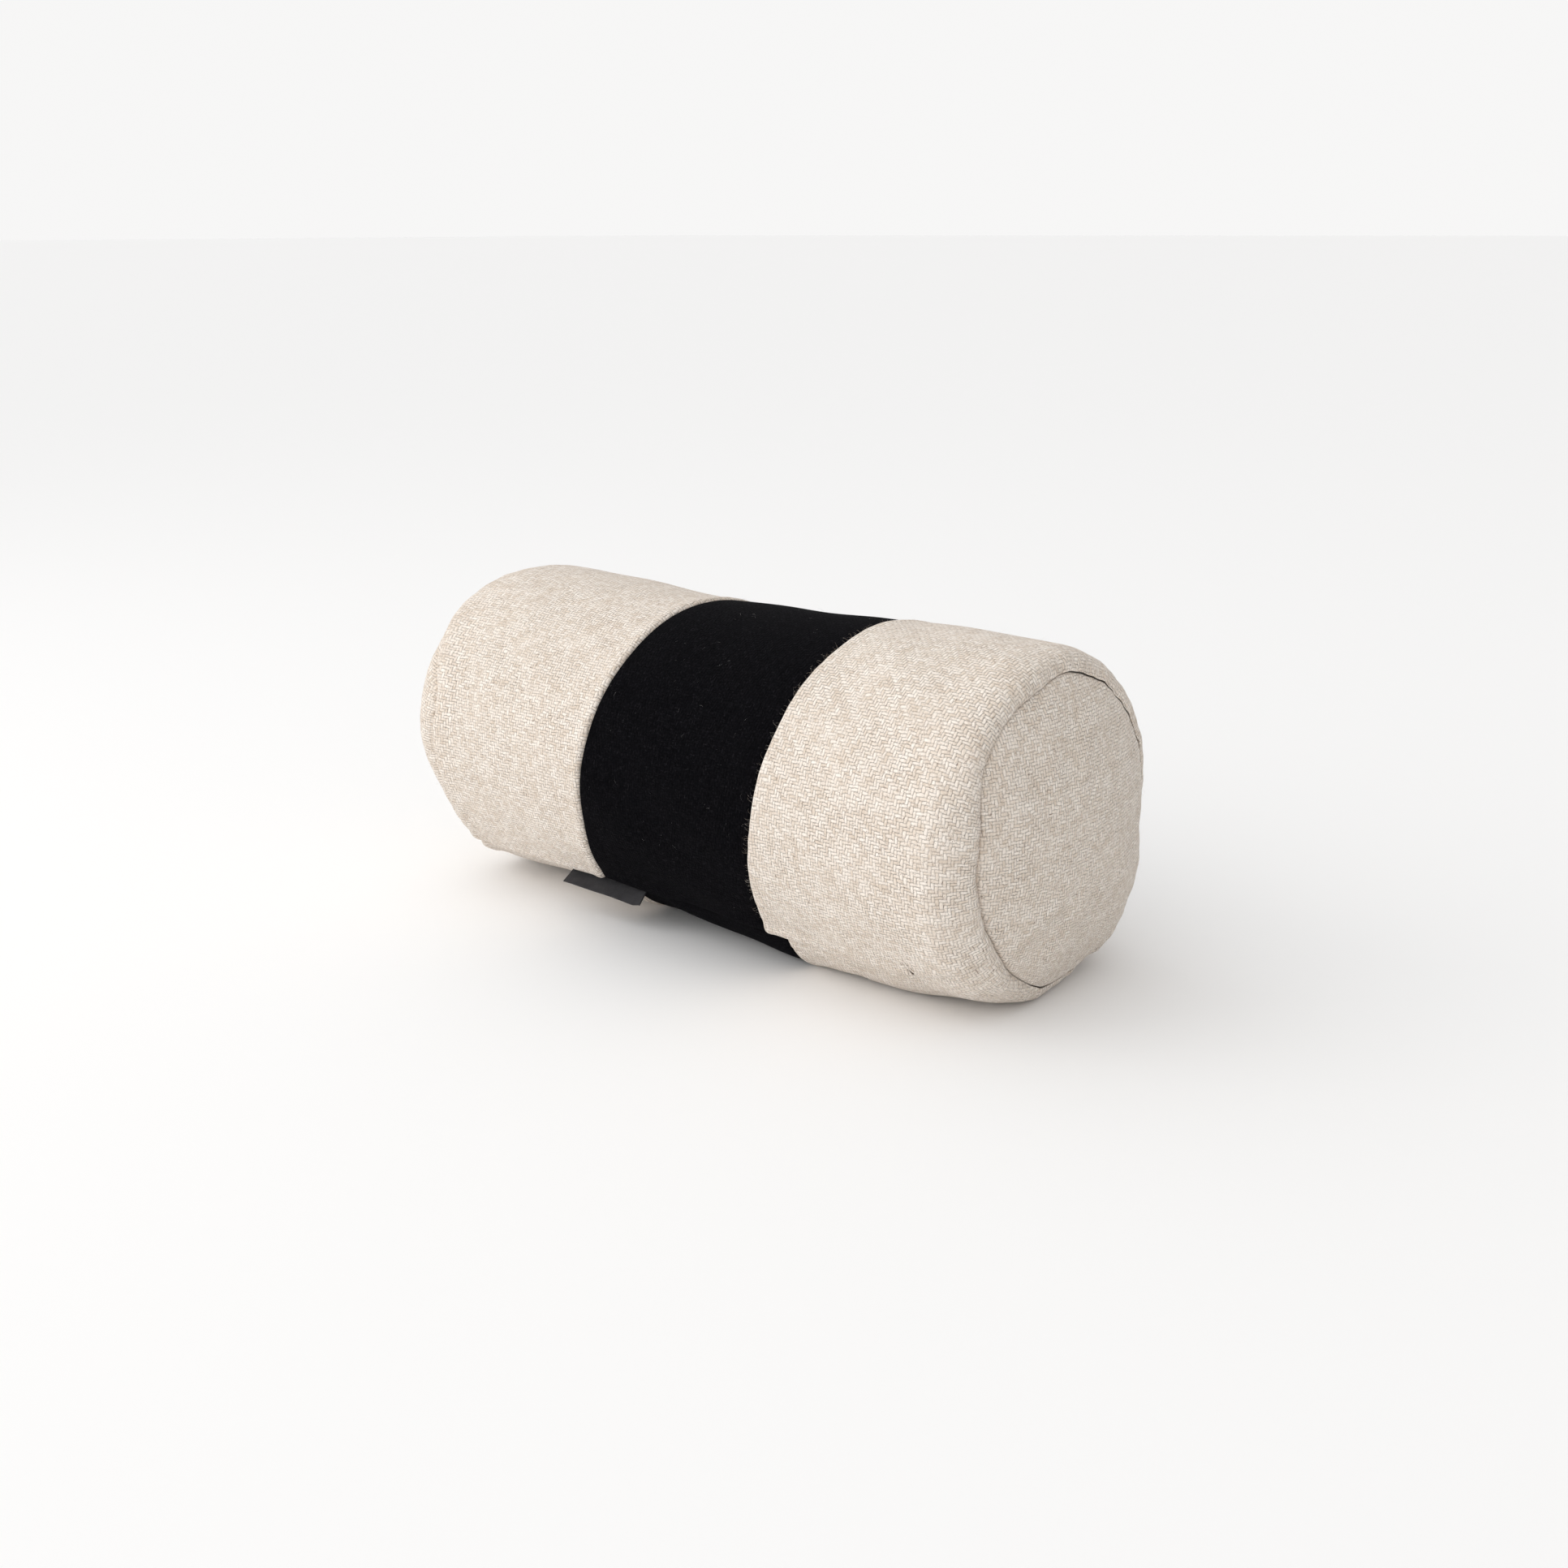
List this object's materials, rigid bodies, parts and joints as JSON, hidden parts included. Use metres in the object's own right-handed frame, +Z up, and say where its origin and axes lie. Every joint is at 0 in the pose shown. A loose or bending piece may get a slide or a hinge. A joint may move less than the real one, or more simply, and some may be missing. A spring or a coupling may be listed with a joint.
{
  "type": "bolster pillow",
  "caption": "Round bolster pillow in a cream wool cover with a black band, a lapped zip, a side label and a fibre-filled inner cushion.",
  "frame": {"origin": "middle of the underside, on the surface that the bolster lies on", "axes": "+X along the bolster, away from the side label; -Y towards the front, where the zip's lap is; +Z up"},
  "size_m": [0.409, 0.178, 0.1744],
  "materials": {
    "cream_wool": "felted wool twill, cream heather",
    "black_wool": "felted wool, black",
    "label_weave": "woven tape, blank",
    "care_weave": "woven satin tape, blank",
    "zip_weave": "polyester tape",
    "tooth_plastic": "moulded plastic",
    "slider_metal": "dark plated zinc",
    "casing_cotton": "plain cotton",
    "fill_fibre": "polyester fibre"
  },
  "bodies": {
    "cover": {"left_panel": "cream_wool", "centre_band": "black_wool", "right_panel": "cream_wool", "left_end_disc": "cream_wool", "right_end_disc": "cream_wool", "side_label": "label_weave", "care_label": "care_weave", "zip_tape_upper": "zip_weave", "zip_tape_lower": "zip_weave", "zip_teeth_upper": "tooth_plastic", "zip_teeth_lower": "tooth_plastic", "top_stop_upper": "slider_metal", "top_stop_lower": "slider_metal", "bottom_stop": "slider_metal", "casing_tube": "casing_cotton", "casing_end_left": "casing_cotton", "casing_end_right": "casing_cotton", "fibre_fill": "fill_fibre"},
    "lap": {"left_lap": "cream_wool", "centre_lap": "black_wool", "right_lap": "cream_wool"},
    "slider": {"zip_slider": "slider_metal"},
    "pull": {"zip_pull": "slider_metal"}
  },
  "joints": [
    {"name": "flap_lift", "type": "hinge", "parent": "cover", "child": "lap", "pos_m": [0, -0.07475, 0.03709], "axis": [-1, 0, 0], "range_deg": [0, 120], "stiffness_Nm_per_rad": 0.002, "springref_deg": -45.84},
    {"name": "zip_slide", "type": "slide", "parent": "cover", "child": "slider", "axis": [-1, 0, 0], "range_m": [0, 0.279]},
    {"name": "pull_swing", "type": "hinge", "parent": "slider", "child": "pull", "pos_m": [0.1395, -0.06364, 0.03386], "axis": [0, -0.6293, 0.7771], "range_deg": [0, 72]}
  ],
  "couplings": [
    {"joint": "pull_swing", "follows": "flap_lift", "ratio": 0.6}
  ]
}
